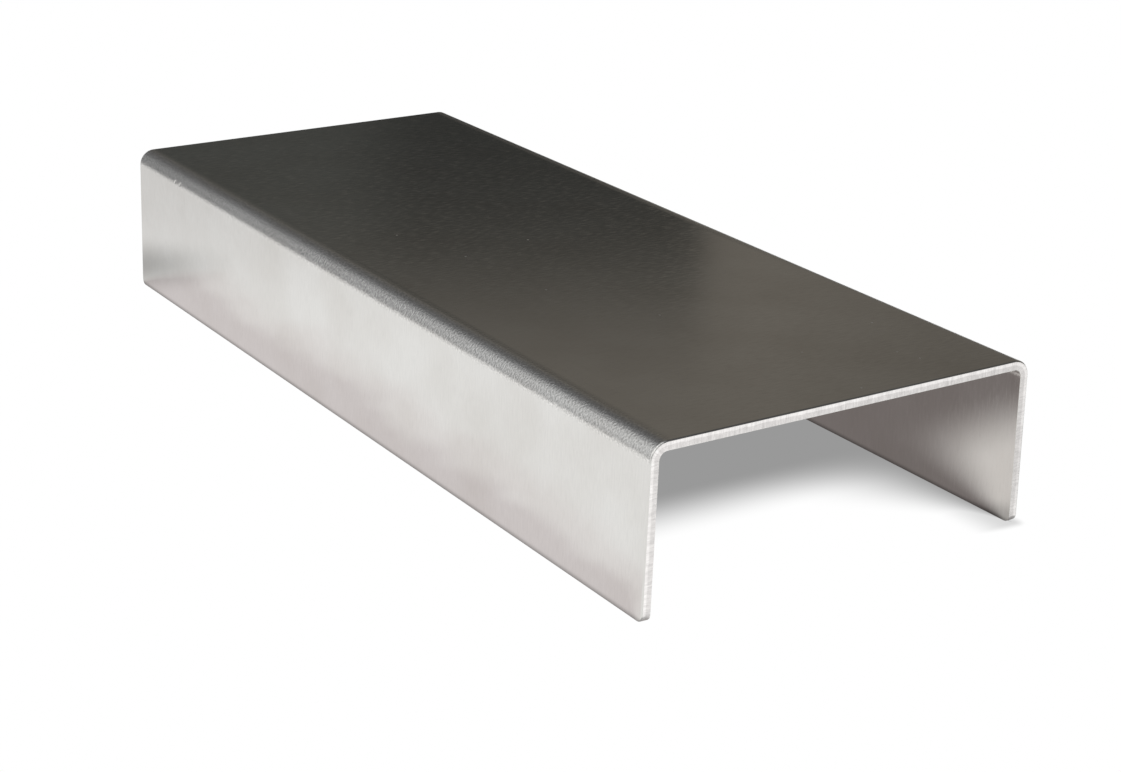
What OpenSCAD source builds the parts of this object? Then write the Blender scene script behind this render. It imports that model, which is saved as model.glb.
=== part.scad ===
// Folded aluminium U-channel: one sheared strip of sheet, bent twice along its length.
// It lies with its web on top and its legs down: X across, Y along the length, Z up from the floor.

/* [Channel] */
// Width over the web, between the lines where the outer leg faces would meet its top
web_width = 90; // [50:1:160]
// Overall height, from the foot of the legs to the top of the web
channel_height = 35; // [20:1:80]
// Length that the channel is cut to
cut_length = 225; // [60:5:600]

/* [Sheet and bends] */
// Thickness of the sheet
sheet_t = 2; // [1:0.25:4]
// Inside radius of both bends
bend_r = 1.75; // [0.5:0.25:6]
// Angle by which each leg springs open from square, in degrees
leg_splay = 1.2; // [0:0.1:4]

/* [Sheared edges] */
// Radius of the blank's four corners, at the foot of the legs
corner_r = 1.5; // [0.75:0.25:5]
// Roll-over that the shear leaves along the outer face's edges
edge_r = 0.3; // [0.1:0.05:0.5]

/* [Hidden] */
$fn = 96;

// Outside radius and turn of a bend
bend_ro = bend_r + sheet_t;
bend_turn = 90 - leg_splay;
// Distance from a bend's axis to the outer corner that it rounds off, along the web
setback = bend_ro * tan(bend_turn / 2);
// Place of the right bend's axis
bend_x = web_width / 2 - setback;
bend_z = channel_height - bend_ro;
// Flat run of a leg, until its inner edge stands on the floor
leg_run = (bend_z + bend_r * sin(leg_splay)) / cos(leg_splay);
// The two halves of the web, and of each bend, run this far past their middle into each other
web_lap = web_width / 10;
bend_lap = bend_turn / 10;

// Half section of the sheet out to a sheared edge: X is the reach, Y the distance from the bend axis.
// The edge is square on the inner face and rolled over on the outer one.
module sheared_edge(reach) {
    translate([0, bend_r]) {
        square([reach, sheet_t - edge_r]);
        square([reach - edge_r, sheet_t]);
        translate([reach - edge_r, sheet_t - edge_r])
            circle(edge_r);
    }
}

// Section of the sheet along the channel's whole length, sheared at both ends
module length_section() {
    for (side = [0, 1])
        mirror([side, 0])
            sheared_edge(cut_length / 2);
}

// Sheet that leaves a bend along X for a flat run, with half of the bend behind it
module folded_side(run) {
    rotate([90, 0, 90])
        linear_extrude(run)
            length_section();
    rotate([90, 0, 0])
        rotate_extrude(angle = bend_turn / 2 + bend_lap, start = 90)
            mirror([1, -1])
                length_section();
}

// Lowest strip of a leg, with the two rounded corners of the blank
module leg_foot() {
    corner_y = cut_length / 2 - corner_r;
    rotate([90, 0, 0])
        linear_extrude(2 * corner_y, center = true)
            sheared_edge(corner_r);
    for (side = [-1, 1])
        translate([0, side * corner_y, 0])
            rotate_extrude(angle = 90, start = side > 0 ? 0 : -90)
                sheared_edge(corner_r);
}

// Right half of the channel: half the web and a splayed leg, each turned half the bend's angle
module half_channel() {
    translate([bend_x, 0, bend_z])
        rotate([0, bend_turn / 2, 0]) {
            mirror([1, 0, 0])
                rotate([0, bend_turn / 2, 0])
                    folded_side(bend_x + web_lap);
            rotate([0, bend_turn / 2, 0]) {
                folded_side(leg_run - corner_r);
                translate([leg_run - corner_r, 0, 0])
                    leg_foot();
            }
        }
}

module u_channel() {
    color("silver")
        for (side = [0, 1])
            mirror([side, 0, 0])
                half_channel();
}

u_channel();
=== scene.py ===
from math import atan2, cos, pi, radians, sin

import bpy
from mathutils import Euler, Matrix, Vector


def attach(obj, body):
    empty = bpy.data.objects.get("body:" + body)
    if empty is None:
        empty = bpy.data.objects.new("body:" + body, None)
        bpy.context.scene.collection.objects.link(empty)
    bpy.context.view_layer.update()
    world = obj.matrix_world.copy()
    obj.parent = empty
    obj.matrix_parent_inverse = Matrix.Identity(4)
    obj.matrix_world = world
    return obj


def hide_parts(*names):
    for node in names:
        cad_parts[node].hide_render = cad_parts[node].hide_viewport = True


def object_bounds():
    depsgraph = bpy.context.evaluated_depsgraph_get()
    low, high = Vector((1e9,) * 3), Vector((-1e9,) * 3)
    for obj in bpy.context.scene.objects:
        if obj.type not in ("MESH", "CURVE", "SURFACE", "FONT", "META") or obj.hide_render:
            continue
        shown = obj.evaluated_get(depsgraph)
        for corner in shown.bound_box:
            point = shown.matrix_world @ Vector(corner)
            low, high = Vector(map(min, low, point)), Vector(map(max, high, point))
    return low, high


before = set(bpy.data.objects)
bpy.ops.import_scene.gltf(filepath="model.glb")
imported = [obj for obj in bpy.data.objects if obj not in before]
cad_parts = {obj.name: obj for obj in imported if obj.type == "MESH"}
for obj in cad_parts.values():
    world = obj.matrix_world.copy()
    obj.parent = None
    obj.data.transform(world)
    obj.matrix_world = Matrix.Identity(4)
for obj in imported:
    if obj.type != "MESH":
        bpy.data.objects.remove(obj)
cadLow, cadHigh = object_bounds()
mm = 0.001
print("frame loaded, box", [round(v, 4) for v in cadHigh - cadLow])


# sRGB hex to the linear values that the shader sockets take
def linear(hexColour):
    parts = [int(hexColour[i:i + 2], 16) / 255 for i in (1, 3, 5)]
    return [p / 12.92 if p <= 0.04045 else ((p + 0.055) / 1.055) ** 2.4 for p in parts] + [1.0]


# adds one node: settings go on the node, links are (socket, value) or (socket, other node's output)
def addNode(tree, kind, links=(), **settings):
    node = tree.nodes.new(kind)
    for name, value in settings.items():
        setattr(node, name, value)
    for socket, value in links:
        if isinstance(value, bpy.types.NodeSocket):
            tree.links.new(value, node.inputs[socket])
        else:
            node.inputs[socket].default_value = value
    return node


# sockets of a Mix node that mixes colours
mixA, mixB, mixed = 6, 7, 2


def newMaterial(name):
    material = bpy.data.materials.new(name)
    material.use_nodes = True
    material.node_tree.nodes.clear()
    return material, material.node_tree


# the folded sheet, sizes in millimetres unless said
channel = dict(
    sheet=2.0,          # wall
    innerBend=1.75,     # inside radius of the fold
    splay=1.2,          # degrees that each leg springs open
    cornerRound=1.5,    # blank's corners at the feet
    rollOver=0.3,       # sheared edge, outer side
    burrBreak=0.08,     # sheared edge, inner side
    bendSteps=20,
    cornerSteps=8,
    rollSteps=4,
    burrSteps=2,
    smoothAngle=30,     # degrees up to which neighbouring faces shade as one
)

wallHalf = channel["sheet"] * mm / 2
outerBend = (channel["sheet"] + channel["innerBend"]) * mm
splay = radians(channel["splay"])
turn = radians(90) - splay
top = cadHigh.z
length = cadHigh.y - cadLow.y
bendZ = top - outerBend
legRun = (bendZ + channel["innerBend"] * mm * sin(splay)) / cos(splay)
# the widest point is the outer edge of the foot, above its roll-over
bendX = cadHigh.x - outerBend * cos(splay) - (legRun - channel["rollOver"] * mm) * sin(splay)
# where the fold ends, measured across the flat blank
bendEnd = bendX + outerBend * turn


def deselect():
    bpy.ops.object.select_all(action="DESELECT")


# picks vertices or edges of the mesh in edit mode by a test on each
def pick(piece, kind, test):
    bpy.ops.mesh.select_mode(type=kind)
    bpy.ops.mesh.select_all(action="DESELECT")
    bpy.ops.object.mode_set(mode="OBJECT")
    items = {"VERT": piece.data.vertices, "EDGE": piece.data.edges}[kind]
    count = 0
    for item in items:
        item.select = bool(test(item))
        count += item.select
    bpy.ops.object.mode_set(mode="EDIT")
    return count


def edgeMiddle(piece, edge):
    a, b = (piece.data.vertices[i].co for i in edge.vertices)
    return (a + b) / 2


def foldChannel():
    deselect()
    bpy.ops.mesh.primitive_plane_add(size=1, location=(0, 0, top))
    piece = bpy.context.object
    piece.name = "uChannel"
    piece.scale = (2 * bendX, length, 1)
    bpy.ops.object.transform_apply(location=True, rotation=True, scale=True)
    bpy.ops.object.mode_set(mode="EDIT")
    near = 1e-6
    for side in (1, -1):
        # fold the long edge round its axis, then run the leg down from the end of the fold
        pick(piece, "EDGE", lambda e: abs(edgeMiddle(piece, e).x - side * bendX) < near)
        bpy.ops.mesh.spin(steps=channel["bendSteps"], angle=-side * turn,
                          center=(side * bendX, 0, bendZ), axis=(0, 1, 0))
        down = (side * sin(splay) * legRun, 0, -cos(splay) * legRun)
        bpy.ops.mesh.extrude_region_move(TRANSFORM_OT_translate={"value": down})
    bpy.ops.mesh.select_all(action="SELECT")
    bpy.ops.mesh.remove_doubles(threshold=near)
    bpy.ops.mesh.normals_make_consistent(inside=False)
    pick(piece, "VERT", lambda v: v.co.z < bendZ / 2)
    bpy.ops.mesh.bevel(offset=channel["cornerRound"] * mm, segments=channel["cornerSteps"],
                       affect="VERTICES")
    bpy.ops.object.mode_set(mode="OBJECT")
    if max(piece.data.polygons, key=lambda p: p.area).normal.z < 0:
        piece.data.flip_normals()
    return piece


# material slots: outer face, cut edge, inner face
sheetSlot, edgeSlot, insideSlot = 0, 1, 2


def thicken(piece, materials):
    for material in materials:
        piece.data.materials.append(material)
    solidify = piece.modifiers.new("sheet", "SOLIDIFY")
    solidify.thickness = channel["sheet"] * mm
    solidify.offset = -1
    solidify.use_even_offset = True
    solidify.material_offset_rim = edgeSlot
    solidify.material_offset = insideSlot
    deselect()
    piece.select_set(True)
    bpy.context.view_layer.objects.active = piece
    bpy.ops.object.modifier_apply(modifier=solidify.name)


# rounds the sheared edge on one side: rolled over outside, a fine burr broken off inside
def breakEdges(piece, faceSlot, size, steps):
    slots = {}
    for face in piece.data.polygons:
        for key in face.edge_keys:
            slots.setdefault(key, set()).add(face.material_index)
    bpy.ops.object.mode_set(mode="EDIT")
    count = pick(piece, "EDGE", lambda e: slots[tuple(sorted(e.vertices))] == {faceSlot, edgeSlot})
    bpy.ops.mesh.bevel(offset=size * mm, segments=steps, affect="EDGES", material=faceSlot,
                       clamp_overlap=False)
    bpy.ops.object.mode_set(mode="OBJECT")
    print("edge broken", count)


# gives each point its place on the flat blank: across from the middle, along, depth below the outer face
def unroll(piece):
    places = []
    for vertex in piece.data.vertices:
        x, y, z = vertex.co
        side = 1 if x >= 0 else -1
        out, rise = abs(x) - bendX, z - bendZ
        angle = min(max(atan2(out, rise), 0), turn)
        run = out * cos(angle) - rise * sin(angle)
        radius = out * sin(angle) + rise * cos(angle)
        places += [side * (bendX + outerBend * angle + run), y, outerBend - radius]
    blank = piece.data.attributes.new("blank", "FLOAT_VECTOR", "POINT")
    blank.data.foreach_set("vector", places)


# nearly all of a noise pattern lies between these
noiseSpan = (0.3, 0.7)

# looks of the rolled sheet, sizes in millimetres on the flat blank
sheetLook = dict(
    metal="#DEDDDA",
    haze="#D6D4D0",
    flatRoughness=0.12,
    bendRoughness=0.26,
    grain=0.45,             # rolling grain across the blank, drawn coarser than real so that it shows
    grainRun=6.0,           # how much longer than wide a line of it is
    grainRoughness=0.22,
    grainDull=(0.5, 0.8),   # part of the grain that grows from flat to dull
    webGrain=0.06,          # share by which it lightens and darkens the web, and the legs
    legGrain=0.025,
    peel=0.5,               # orange peel of the stretched bends
    peelHeight=0.045,
    peelTone=(0.8, 1.17),
    cloud=22.0,             # dull clouds left by handling
    cloudDull=(0.4, 0.7),   # part of a cloud that grows from bright to dull
    # bright specks on the web and the two dots of a nick on one bend: place across and along the blank
    specks=((24.5, -97), (26, -102), (5.5, -109), (8, -88), (-18, -3), (-15, -31), (0.5, 1), (-3.5, -56),
            (-23.5, 18), (31.5, -81)),
    speckSize=0.3,
    nicks=((-46.2, 91), (-46.2, 88.2)),
    nickSize=0.45,
    nickDepth=4.0,          # in heights of the peel
    markRoughness=0.5,
    markEdge=(1.3, 0.3),    # where a speck or dot begins and where it is full, in its sizes from its middle
    webFade=(-1.6, 0.8),    # how the peel comes in past the edge of the web, and runs out over the leg
    legFade=(-0.6, 0.6),
)


# soft round marks, each strongest in its middle
def dots(tree, blank, places, size):
    begins, full = (share * size * mm for share in sheetLook["markEdge"])
    marks = 0.0
    for across, along in places:
        away = addNode(tree, "ShaderNodeVectorMath", [(0, blank), (1, (across * mm, along * mm, 0))],
                       operation="DISTANCE").outputs["Value"]
        dot = addNode(tree, "ShaderNodeMapRange",
                      [("Value", away), ("From Min", begins), ("From Max", full)],
                      interpolation_type="SMOOTHSTEP").outputs["Result"]
        marks = addNode(tree, "ShaderNodeMath", [(0, marks), (1, dot)], operation="MAXIMUM").outputs[0]
    return marks


# mill-finish aluminium: rolled bright, a soft mirror with fine lines across the blank and a few bright
# specks on the web, and an orange peel that breaks up the light where the bends have stretched it
def rolledAluminium():
    look = sheetLook
    material, tree = newMaterial("rolledAluminium")
    blank = addNode(tree, "ShaderNodeAttribute", attribute_name="blank").outputs["Vector"]
    axes = addNode(tree, "ShaderNodeSeparateXYZ", [(0, blank)])
    across = addNode(tree, "ShaderNodeMath", [(0, axes.outputs["X"])], operation="ABSOLUTE").outputs[0]
    webFade = [bendX + at * mm for at in look["webFade"]]
    legFade = [bendEnd + at * mm for at in look["legFade"]]
    offWeb = addNode(tree, "ShaderNodeMapRange",
                     [("Value", across), ("From Min", webFade[0]), ("From Max", webFade[1])],
                     interpolation_type="SMOOTHSTEP").outputs["Result"]
    offLeg = addNode(tree, "ShaderNodeMapRange",
                     [("Value", across), ("From Min", legFade[1]), ("From Max", legFade[0])],
                     interpolation_type="SMOOTHSTEP").outputs["Result"]
    bent = addNode(tree, "ShaderNodeMath", [(0, offWeb), (1, offLeg)], operation="MULTIPLY").outputs[0]

    # rolling grain, clouds and orange peel
    lines = addNode(tree, "ShaderNodeMapping",
                    [("Vector", blank), ("Scale", (1 / look["grainRun"], 1, 1))]).outputs["Vector"]
    grain = addNode(tree, "ShaderNodeTexNoise",
                    [("Vector", lines), ("Scale", 1 / (look["grain"] * mm)), ("Detail", 2.0)]).outputs["Fac"]
    cloud = addNode(tree, "ShaderNodeTexNoise",
                    [("Vector", blank), ("Scale", 1 / (look["cloud"] * mm)), ("Detail", 4.0)]).outputs["Fac"]
    dull = addNode(tree, "ShaderNodeMapRange",
                   [("Value", cloud), ("From Min", look["cloudDull"][0]),
                    ("From Max", look["cloudDull"][1])]).outputs["Result"]
    peel = addNode(tree, "ShaderNodeTexNoise",
                   [("Vector", blank), ("Scale", 1 / (look["peel"] * mm)), ("Detail", 1.0)]).outputs["Fac"]

    specks = dots(tree, blank, look["specks"], look["speckSize"])
    dents = dots(tree, blank, look["nicks"], look["nickSize"])

    tone = addNode(tree, "ShaderNodeMix",
                   [("Factor", dull), (mixA, linear(look["metal"])), (mixB, linear(look["haze"]))],
                   data_type="RGBA").outputs[mixed]
    webTone, legTone = (addNode(tree, "ShaderNodeMapRange",
                                [("Value", grain), ("From Min", noiseSpan[0]), ("From Max", noiseSpan[1]),
                                 ("To Min", 1 - share), ("To Max", 1 + share)]).outputs["Result"]
                        for share in (look["webGrain"], look["legGrain"]))
    peelTone = addNode(tree, "ShaderNodeMapRange",
                       [("Value", peel), ("From Min", noiseSpan[0]), ("From Max", noiseSpan[1]),
                        ("To Min", look["peelTone"][0]), ("To Max", look["peelTone"][1])]).outputs["Result"]
    flecks = addNode(tree, "ShaderNodeMix", [("Factor", bent), ("A", legTone), ("B", peelTone)])
    flecks = addNode(tree, "ShaderNodeMix",
                     [("Factor", offWeb), ("A", webTone), ("B", flecks.outputs["Result"])])
    colour = addNode(tree, "ShaderNodeVectorMath",
                     [(0, tone), (1, flecks.outputs["Result"])], operation="MULTIPLY")
    flatRough = addNode(tree, "ShaderNodeMapRange",
                        [("Value", grain), ("From Min", look["grainDull"][0]),
                         ("From Max", look["grainDull"][1]), ("To Min", look["flatRoughness"]),
                         ("To Max", look["grainRoughness"])])
    rough = addNode(tree, "ShaderNodeMix",
                    [("Factor", bent), ("A", flatRough.outputs["Result"]), ("B", look["bendRoughness"])])
    rough = addNode(tree, "ShaderNodeMix",
                    [("Factor", specks), ("A", rough.outputs["Result"]), ("B", look["markRoughness"])])

    relief = addNode(tree, "ShaderNodeMath", [(0, peel), (1, bent)], operation="MULTIPLY").outputs[0]
    relief = addNode(tree, "ShaderNodeMath", [(0, dents), (1, -look["nickDepth"]), (2, relief)],
                     operation="MULTIPLY_ADD").outputs[0]
    bump = addNode(tree, "ShaderNodeBump", [("Height", relief), ("Distance", look["peelHeight"] * mm)])
    metal = addNode(tree, "ShaderNodeBsdfPrincipled",
                    [("Base Color", colour.outputs[0]), ("Metallic", 1.0),
                     ("Roughness", rough.outputs["Result"]), ("Normal", bump.outputs["Normal"])])
    addNode(tree, "ShaderNodeOutputMaterial", [("Surface", metal.outputs["BSDF"])])
    return material


# looks of the sheared edges, sizes in millimetres
edgeLook = dict(
    land="#FCF9F7",
    torn="#F0EDEB",
    landRoughness=0.3,
    tornRoughness=0.45,
    landShare=0.45,         # burnished part of the thickness, from the outer face
    waver=0.15,             # share of the thickness by which its border wanders either way
    waverSize=2.2,
    borderBlur=0.04,
    scratch=0.35,           # pitch of the scratches across the cut, coarser than real so that they show
    scratchDraw=0.15,       # scale of the pattern along them, as a share of that across
    scratchTone=(0.84, 1.06),
    scratchHeight=0.03,
)


# sheared aluminium: bright and scored by the blade over the first part of the cut, torn and duller below
def shearedAluminium():
    look = edgeLook
    material, tree = newMaterial("shearedAluminium")
    blank = addNode(tree, "ShaderNodeAttribute", attribute_name="blank").outputs["Vector"]
    axes = addNode(tree, "ShaderNodeSeparateXYZ", [(0, blank)])
    depth = addNode(tree, "ShaderNodeMath", [(0, axes.outputs["Z"]), (1, channel["sheet"] * mm)],
                    operation="DIVIDE").outputs[0]
    wander = addNode(tree, "ShaderNodeTexNoise",
                     [("Vector", blank), ("Scale", 1 / (look["waverSize"] * mm)),
                      ("Detail", 3.0)]).outputs["Fac"]
    waver = addNode(tree, "ShaderNodeMath", [(0, wander), (1, 2 * look["waver"]), (2, -look["waver"])],
                    operation="MULTIPLY_ADD").outputs[0]
    level = addNode(tree, "ShaderNodeMath", [(0, depth), (1, waver)], operation="ADD").outputs[0]
    torn = addNode(tree, "ShaderNodeMapRange",
                   [("Value", level), ("From Min", look["landShare"] - look["borderBlur"]),
                    ("From Max", look["landShare"] + look["borderBlur"])]).outputs["Result"]
    # scratches run through the thickness, so the pattern is drawn out along the depth
    drawn = addNode(tree, "ShaderNodeMapping",
                    [("Vector", blank), ("Scale", (1, 1, look["scratchDraw"]))]).outputs["Vector"]
    scratch = addNode(tree, "ShaderNodeTexNoise",
                      [("Vector", drawn), ("Scale", 1 / (look["scratch"] * mm)),
                       ("Detail", 2.0)]).outputs["Fac"]
    tone = addNode(tree, "ShaderNodeMix",
                   [("Factor", torn), (mixA, linear(look["land"])), (mixB, linear(look["torn"]))],
                   data_type="RGBA").outputs[mixed]
    flecks = addNode(tree, "ShaderNodeMapRange",
                     [("Value", scratch), ("From Min", noiseSpan[0]), ("From Max", noiseSpan[1]),
                      ("To Min", look["scratchTone"][0]), ("To Max", look["scratchTone"][1])])
    colour = addNode(tree, "ShaderNodeVectorMath",
                     [(0, tone), (1, flecks.outputs["Result"])], operation="MULTIPLY")
    rough = addNode(tree, "ShaderNodeMix",
                    [("Factor", torn), ("A", look["landRoughness"]), ("B", look["tornRoughness"])])
    bump = addNode(tree, "ShaderNodeBump", [("Height", scratch), ("Distance", look["scratchHeight"] * mm)])
    metal = addNode(tree, "ShaderNodeBsdfPrincipled",
                    [("Base Color", colour.outputs[0]), ("Metallic", 1.0),
                     ("Roughness", rough.outputs["Result"]), ("Normal", bump.outputs["Normal"])])
    addNode(tree, "ShaderNodeOutputMaterial", [("Surface", metal.outputs["BSDF"])])
    return material


uChannel = foldChannel()
rolled, sheared = rolledAluminium(), shearedAluminium()
thicken(uChannel, [rolled, sheared, rolled])
breakEdges(uChannel, sheetSlot, channel["rollOver"], channel["rollSteps"])
breakEdges(uChannel, insideSlot, channel["burrBreak"], channel["burrSteps"])
unroll(uChannel)
deselect()
uChannel.select_set(True)
bpy.context.view_layer.objects.active = uChannel
bpy.ops.object.shade_smooth_by_angle(angle=radians(channel["smoothAngle"]))
# the wide flats keep their own direction up to the bends, so that they mirror straight
flats = uChannel.modifiers.new("flats", "WEIGHTED_NORMAL")
flats.keep_sharp = True
bpy.ops.object.modifier_apply(modifier=flats.name)
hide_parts("u_channel")
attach(uChannel, "root")
print("channel folded,", len(uChannel.data.polygons), "faces")

# white table, sizes in metres: white in the open, with a painted soft shade where the channel covers it
floor = dict(
    size=40.0,
    white="#FFFFFF",
    matt="#E6E6E4",         # what lights the channel from below
    # painted shade inside, as if lit from the nearer end: from deep to shallow, and from shut to open by the
    # angle in degrees that the right leg leaves to that end, with the tones between which it is seen and
    # mirrored
    seenInside=dict(depth=(0.0475, 0.0275), open=(-8, 50), tones=("#999999", "#FFFFFF")),
    mirroredInside=dict(depth=(0.054, 0.024), open=(10, 40), tones=("#837C7B", "#E8E4E2")),
    # painted shade seen round the right foot, away from the light: tone at the wall, how far it reaches
    # inside, and how many times quicker it ends outside
    footShade=dict(tone=0.7, reach=0.0105, quicker=4.0),
    # painted shadow mirrored beside a leg, by the share of the light that it hides
    mirroredBeside=((0.09, "#FFFFFF"), (0.13, "#F7F4F4"), (0.185, "#E6E0E1")),
    uneven=0.25,            # share by which that wanders either way
    unevenSize=0.035,
    unevenSpan=(0.25, 0.75),
    # painted contact shade: the dark line along a foot and its tone
    foot=(0.001, 0.0028),   # mirrored dark line along a foot, measured from the middle of its wall
    footTone=0.45,
    # painted fall-off of the table's light, mirrored only: its middle and its tones by distance
    middle=(0, -0.1, 0),    # the table's light falls off from here
    fall=((0.17, "#FFFFFF"), (0.31, "#E9E8E8"), (0.55, "#D0D0D1"), (0.8, "#A9A9AA"), (1.0, "#8C8C8D")),
    # soft mirrored painted shadows, behind the far left corner, in front of the right leg and at the tip of
    # its
    # foot: place, reach, tone
    paintedShades=(((-0.05, 0.129, 0), 0.029, 0.55),
            ((0.078, -0.132, 0), 0.052, 0.7),
            ((0.043, -0.109, 0), 0.01, 0.6)),
)


# eases from tone to tone, each given with its place on the ramp
def toneRamp(tree, value, tones):
    ramp = addNode(tree, "ShaderNodeValToRGB", [("Fac", value)])
    ramp.color_ramp.interpolation = "EASE"
    stops = ramp.color_ramp.elements
    stops[0].position, stops[0].color = tones[0][0], linear(tones[0][1])
    stops[1].position, stops[1].color = tones[-1][0], linear(tones[-1][1])
    for place, tone in tones[1:-1]:
        stops.new(place).color = linear(tone)
    return ramp.outputs["Color"]


# how far a point of the floor lies outside one side of the channel
def gapTo(tree, away, side, half):
    return addNode(tree, "ShaderNodeMath", [(0, away), (1, side), (2, -half)],
                   operation="MULTIPLY_ADD").outputs[0]


# painted shade of the floor inside, as if lit from the nearer end
def paintedInsideShade(tree, right, beyond, look):
    depth, angles = look["depth"], [radians(angle) for angle in look["open"]]
    shallow = addNode(tree, "ShaderNodeMapRange",
                      [("Value", beyond), ("From Min", -depth[0]), ("From Max", -depth[1])],
                      interpolation_type="SMOOTHSTEP").outputs["Result"]
    opening = addNode(tree, "ShaderNodeMath", [(0, right), (1, beyond)], operation="DIVIDE").outputs[0]
    opening = addNode(tree, "ShaderNodeMath", [(0, opening)], operation="ARCTANGENT").outputs[0]
    opening = addNode(tree, "ShaderNodeMapRange",
                      [("Value", opening), ("From Min", angles[0]), ("From Max", angles[1])],
                      interpolation_type="SMOOTHSTEP").outputs["Result"]
    # share of painted light: the painted shade deepens further in and nearer the right leg
    light = addNode(tree, "ShaderNodeMath", [(0, shallow), (1, opening)], operation="MULTIPLY").outputs[0]
    return addNode(tree, "ShaderNodeMix",
                   [("Factor", light), (mixA, linear(look["tones"][0])), (mixB, linear(look["tones"][1]))],
                   data_type="RGBA").outputs[mixed]


# share of the sky that part of a leg takes up, from the foot of the perpendicular to one end of it
def halfSeen(tree, gap, along, end, reach):
    height = top - channel["sheet"] * mm
    slant = addNode(tree, "ShaderNodeMath", [(0, gap), (1, gap), (2, height * height)],
                    operation="MULTIPLY_ADD").outputs[0]
    slant = addNode(tree, "ShaderNodeMath", [(0, slant)], operation="SQRT").outputs[0]
    lean = addNode(tree, "ShaderNodeMath", [(0, gap), (1, slant)], operation="DIVIDE").outputs[0]
    run = addNode(tree, "ShaderNodeMath", [(0, along), (1, end), (2, reach)],
                  operation="MULTIPLY_ADD").outputs[0]
    low = addNode(tree, "ShaderNodeMath", [(0, run), (1, gap)], operation="DIVIDE").outputs[0]
    low = addNode(tree, "ShaderNodeMath", [(0, low)], operation="ARCTANGENT").outputs[0]
    high = addNode(tree, "ShaderNodeMath", [(0, run), (1, slant)], operation="DIVIDE").outputs[0]
    high = addNode(tree, "ShaderNodeMath", [(0, high)], operation="ARCTANGENT").outputs[0]
    high = addNode(tree, "ShaderNodeMath", [(0, high), (1, lean)], operation="MULTIPLY").outputs[0]
    seen = addNode(tree, "ShaderNodeMath", [(0, low), (1, high)], operation="SUBTRACT").outputs[0]
    return addNode(tree, "ShaderNodeMath", [(0, seen), (1, 0.5 / pi)], operation="MULTIPLY").outputs[0]


# measures at each point of the floor, mostly how far it lies outside the legs and the ends
def floorPlaces(tree):
    place = addNode(tree, "ShaderNodeTexCoord").outputs["Object"]
    axes = addNode(tree, "ShaderNodeSeparateXYZ", [(0, place)])
    across, along = axes.outputs["X"], axes.outputs["Y"]
    left, right = (gapTo(tree, across, side, cadHigh.x - wallHalf) for side in (-1, 1))
    front, back = (gapTo(tree, along, side, length / 2) for side in (-1, 1))
    beside = addNode(tree, "ShaderNodeMath", [(0, left), (1, right)], operation="MAXIMUM").outputs[0]
    beyond = addNode(tree, "ShaderNodeMath", [(0, front), (1, back)], operation="MAXIMUM").outputs[0]
    outside = addNode(tree, "ShaderNodeMath", [(0, beside), (1, beyond)], operation="MAXIMUM").outputs[0]
    outside = addNode(tree, "ShaderNodeMath", [(0, outside), (1, 0.0)], operation="GREATER_THAN").outputs[0]
    return dict(place=place, along=along, left=left, right=right, beside=beside, beyond=beyond,
                outside=outside)


# seen: white outside, and a painted soft shade inside and round the right foot
def seenTone(tree, at):
    inside = paintedInsideShade(tree, at["right"], at["beyond"], floor["seenInside"])
    tone = addNode(tree, "ShaderNodeMix",
                   [("Factor", at["outside"]), (mixA, inside), (mixB, linear(floor["white"]))],
                   data_type="RGBA").outputs[mixed]
    # painted soft shade round the right foot, which ends quicker outside
    shade = floor["footShade"]
    outer, inner = (addNode(tree, "ShaderNodeMath", [(0, at["right"]), (1, factor)],
                            operation="MULTIPLY").outputs[0]
                    for factor in (shade["quicker"], -1.0))
    aside = addNode(tree, "ShaderNodeMath", [(0, outer), (1, inner)], operation="MAXIMUM").outputs[0]
    ahead = addNode(tree, "ShaderNodeMath", [(0, at["beyond"]), (1, shade["quicker"])],
                    operation="MULTIPLY").outputs[0]
    ahead = addNode(tree, "ShaderNodeMath", [(0, ahead), (1, 0.0)], operation="MAXIMUM").outputs[0]
    off = addNode(tree, "ShaderNodeCombineXYZ", [("X", aside), ("Y", ahead)]).outputs[0]
    off = addNode(tree, "ShaderNodeVectorMath", [(0, off)], operation="LENGTH").outputs["Value"]
    soft = addNode(tree, "ShaderNodeMapRange",
                   [("Value", off), ("From Min", wallHalf), ("From Max", wallHalf + shade["reach"]),
                    ("To Min", shade["tone"])], interpolation_type="SMOOTHSTEP").outputs["Result"]
    return addNode(tree, "ShaderNodeVectorMath", [(0, tone), (1, soft)], operation="MINIMUM").outputs[0]


# mirrored: a painted shadow of the legs on the floor beside them, a little uneven
def paintedLegShade(tree, at):
    hidden = 0.0
    # only the part of a leg that lies in front of the point counts
    for gap in (at["left"], at["right"]):
        far, near = (halfSeen(tree, gap, at["along"], end, length / 2) for end in (-1, 1))
        far = addNode(tree, "ShaderNodeMath", [(0, far), (1, 0.0)], operation="MINIMUM").outputs[0]
        near = addNode(tree, "ShaderNodeMath", [(0, near), (1, far)], operation="ADD").outputs[0]
        near = addNode(tree, "ShaderNodeMath", [(0, near), (1, 0.0)], operation="MAXIMUM").outputs[0]
        hidden = addNode(tree, "ShaderNodeMath", [(0, near), (1, hidden)], operation="ADD").outputs[0]
    span = floor["unevenSpan"]
    wave = addNode(tree, "ShaderNodeTexNoise", [("Vector", at["place"]), ("Scale", 1 / floor["unevenSize"])])
    wave = addNode(tree, "ShaderNodeMapRange",
                   [("Value", wave.outputs["Fac"]), ("From Min", span[0]), ("From Max", span[1]),
                    ("To Min", 1 - floor["uneven"]), ("To Max", 1 + floor["uneven"])]).outputs["Result"]
    hidden = addNode(tree, "ShaderNodeMath", [(0, hidden), (1, wave)], operation="MULTIPLY").outputs[0]
    return toneRamp(tree, hidden, floor["mirroredBeside"])
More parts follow.
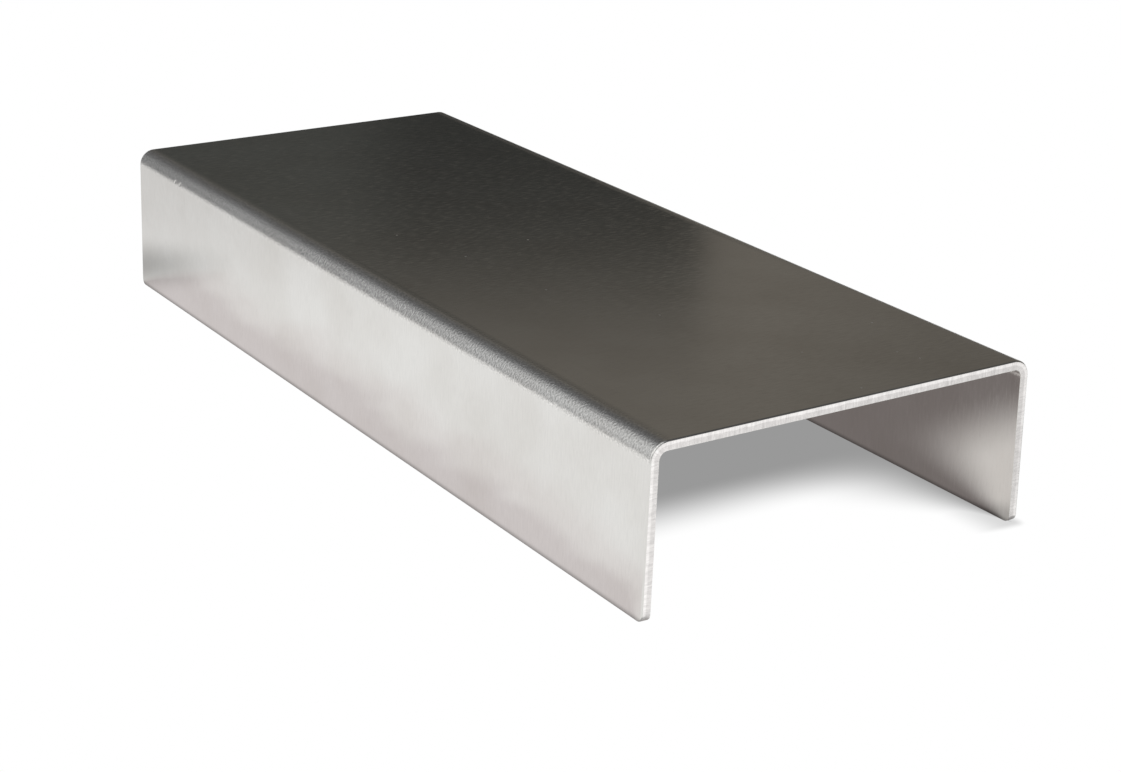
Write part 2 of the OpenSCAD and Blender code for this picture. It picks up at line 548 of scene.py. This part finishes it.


# mirrored: a darker painted shade inside, then the painted fall of the light, the painted contact shade
# along a foot and the painted soft shadows
def mirroredTone(tree, at):
    inside = paintedInsideShade(tree, at["right"], at["beyond"], floor["mirroredInside"])
    tone = addNode(tree, "ShaderNodeMix",
                   [("Factor", at["outside"]), (mixA, inside), (mixB, paintedLegShade(tree, at))],
                   data_type="RGBA").outputs[mixed]
    # painted fall-off of the table's light with distance from its middle
    out = addNode(tree, "ShaderNodeVectorMath", [(0, at["place"]), (1, floor["middle"])],
                  operation="DISTANCE").outputs["Value"]
    # painted contact shade along the feet, mirrored only
    wall = addNode(tree, "ShaderNodeMath", [(0, at["beside"])], operation="ABSOLUTE").outputs[0]
    wall = addNode(tree, "ShaderNodeMath", [(0, wall), (1, at["beyond"])], operation="MAXIMUM").outputs[0]
    foot = addNode(tree, "ShaderNodeMapRange",
                   [("Value", wall), ("From Min", floor["foot"][0]), ("From Max", floor["foot"][1]),
                    ("To Min", floor["footTone"])], interpolation_type="SMOOTHSTEP").outputs["Result"]
    shares = [toneRamp(tree, out, floor["fall"]), foot]
    # painted soft shadows at given places on the floor
    for middle, reach, darkest in floor["paintedShades"]:
        away = addNode(tree, "ShaderNodeVectorMath", [(0, at["place"]), (1, middle)],
                       operation="DISTANCE").outputs["Value"]
        shares.append(addNode(tree, "ShaderNodeMapRange",
                              [("Value", away), ("From Max", reach), ("To Min", darkest)],
                              interpolation_type="SMOOTHSTEP").outputs["Result"])
    for share in shares:
        tone = addNode(tree, "ShaderNodeVectorMath", [(0, tone), (1, share)],
                       operation="MULTIPLY").outputs[0]
    return tone


# matt white table: an even white with a painted soft shade under the channel, and a greyer painted shade
# that its metal mirrors
def whiteFloor():
    material, tree = newMaterial("whiteFloor")
    material.cycles.emission_sampling = "NONE"
    at = floorPlaces(tree)
    mirrored, seen = mirroredTone(tree, at), seenTone(tree, at)
    path = addNode(tree, "ShaderNodeLightPath").outputs
    tone = addNode(tree, "ShaderNodeMix",
                   [("Factor", path["Is Camera Ray"]), (mixA, mirrored), (mixB, seen)],
                   data_type="RGBA").outputs[mixed]
    white = addNode(tree, "ShaderNodeEmission", [("Color", tone)])
    matt = addNode(tree, "ShaderNodeBsdfDiffuse", [("Color", linear(floor["matt"]))])
    direct = path["Is Camera Ray"]
    for ray in ("Is Glossy Ray", "Is Transmission Ray"):
        direct = addNode(tree, "ShaderNodeMath", [(0, direct), (1, path[ray])],
                         operation="MAXIMUM").outputs[0]
    table = addNode(tree, "ShaderNodeMixShader",
                    [("Fac", direct), (1, matt.outputs[0]), (2, white.outputs[0])])
    # seen through from below, so that it doesn't hide the underside there
    below = addNode(tree, "ShaderNodeNewGeometry").outputs["Backfacing"]
    clear = addNode(tree, "ShaderNodeBsdfTransparent")
    table = addNode(tree, "ShaderNodeMixShader",
                    [("Fac", below), (1, table.outputs[0]), (2, clear.outputs[0])])
    addNode(tree, "ShaderNodeOutputMaterial", [("Surface", table.outputs[0])])
    return material


deselect()
bpy.ops.mesh.primitive_plane_add(size=floor["size"], location=(0, 0, cadLow.z))
table = bpy.context.object
table.name = "floor"
table.data.materials.append(whiteFloor())
print("table laid")

# studio: a big soft light on the left, and a dim room with a dark doorway straight ahead
studio = dict(
    softLight=(-0.82, -0.3, 0.5),
    # how far a direction faces the light, from 0 away to 1 towards it, to its tone
    room=((0.25, "#635F59"), (0.42, "#535251"), (0.525, "#505052"), (0.575, "#5A5B5D"), (0.62, "#7D7E80"),
          (0.66, "#AEAFB1"), (0.705, "#CECFD0"), (1.0, "#FFFFFF")),
    strength=1.3,
    doorEdge=53.1,                  # the doorway's right edge, degrees from +X
    # the rest by the sine of the angle to the left of that edge, or above the level for the top
    doorBlur=0.004,
    doorTop=(0.287, 0.348),
    doorway=("#2B2C2B", "#3C3D3B"), # beside its edge, and further in
    doorDepth=(0.12, 0.17),         # from the one tone to the other
    doorFar=(0.35, 0.6),            # where it ends on the left
    wall=(-0.11, -0.03),            # the wall on its right darkens away from it
    wallTone=0.82,
)


def lightStudio():
    look = studio
    world = bpy.data.worlds.new("studio")
    bpy.context.scene.world = world
    world.use_nodes = True
    tree = world.node_tree
    tree.nodes.clear()
    way = addNode(tree, "ShaderNodeTexCoord").outputs["Generated"]
    facing = addNode(tree, "ShaderNodeVectorMath", [(0, way), (1, look["softLight"])],
                     operation="DOT_PRODUCT").outputs["Value"]
    facing = addNode(tree, "ShaderNodeMath", [(0, facing), (1, 0.5), (2, 0.5)],
                     operation="MULTIPLY_ADD").outputs[0]
    room = toneRamp(tree, facing, look["room"])
    edge = radians(look["doorEdge"])
    aside = addNode(tree, "ShaderNodeVectorMath", [(0, way), (1, (-sin(edge), cos(edge), 0))],
                    operation="DOT_PRODUCT").outputs["Value"]
    beside = addNode(tree, "ShaderNodeMapRange",
                     [("Value", aside), ("From Min", -look["doorBlur"]), ("From Max", look["doorBlur"])],
                     interpolation_type="SMOOTHSTEP").outputs["Result"]
    height = addNode(tree, "ShaderNodeSeparateXYZ", [(0, way)]).outputs["Z"]
    below = addNode(tree, "ShaderNodeMapRange",
                    [("Value", height), ("From Min", look["doorTop"][1]), ("From Max", look["doorTop"][0])],
                    interpolation_type="SMOOTHSTEP").outputs["Result"]
    before = addNode(tree, "ShaderNodeMapRange",
                     [("Value", aside), ("From Min", look["doorFar"][1]), ("From Max", look["doorFar"][0])],
                     interpolation_type="SMOOTHSTEP").outputs["Result"]
    door = addNode(tree, "ShaderNodeMath", [(0, beside), (1, below)], operation="MULTIPLY").outputs[0]
    door = addNode(tree, "ShaderNodeMath", [(0, door), (1, before)], operation="MULTIPLY").outputs[0]
    wall = addNode(tree, "ShaderNodeMapRange",
                   [("Value", aside), ("From Min", look["wall"][0]), ("From Max", look["wall"][1]),
                    ("To Min", look["wallTone"])]).outputs["Result"]
    room = addNode(tree, "ShaderNodeVectorMath", [(0, room), (1, wall)], operation="MULTIPLY").outputs[0]
    deep = addNode(tree, "ShaderNodeMapRange",
                   [("Value", aside), ("From Min", look["doorDepth"][0]),
                    ("From Max", look["doorDepth"][1])],
                   interpolation_type="SMOOTHSTEP").outputs["Result"]
    doorway = addNode(tree, "ShaderNodeMix",
                      [("Factor", deep), (mixA, linear(look["doorway"][0])),
                       (mixB, linear(look["doorway"][1]))], data_type="RGBA").outputs[mixed]
    tone = addNode(tree, "ShaderNodeMix", [("Factor", door), (mixA, room), (mixB, doorway)],
                   data_type="RGBA").outputs[mixed]
    sky = addNode(tree, "ShaderNodeBackground", [("Color", tone), ("Strength", look["strength"])])
    addNode(tree, "ShaderNodeOutputWorld", [("Surface", sky.outputs[0])])


lightStudio()
print("light set")

# camera matched to the picture's edges: place in millimetres, turns in degrees, focal length in pixels
view = dict(
    place=(-263.19, -416.15, 186.84),
    yaw=-33.231,
    pitch=20.720,
    roll=1.316,
    focal=2302.2,
    imageWidth=1121,
    sensor=36.0,            # millimetres
    clip=(0.01, 100.0),     # metres
)

lens = bpy.data.cameras.new("camera")
lens.sensor_fit = "HORIZONTAL"
lens.sensor_width = view["sensor"]
lens.lens = view["focal"] / view["imageWidth"] * lens.sensor_width
lens.clip_start, lens.clip_end = view["clip"]
camera = bpy.data.objects.new("camera", lens)
bpy.context.scene.collection.objects.link(camera)
camera.location = Vector(view["place"]) * mm
turned = Euler((radians(90 - view["pitch"]), 0, radians(view["yaw"]))).to_matrix()
camera.rotation_euler = (turned @ Euler((0, 0, radians(view["roll"]))).to_matrix()).to_euler()
bpy.context.scene.camera = camera
bpy.context.scene.view_settings.view_transform = "Standard"
print("camera set")
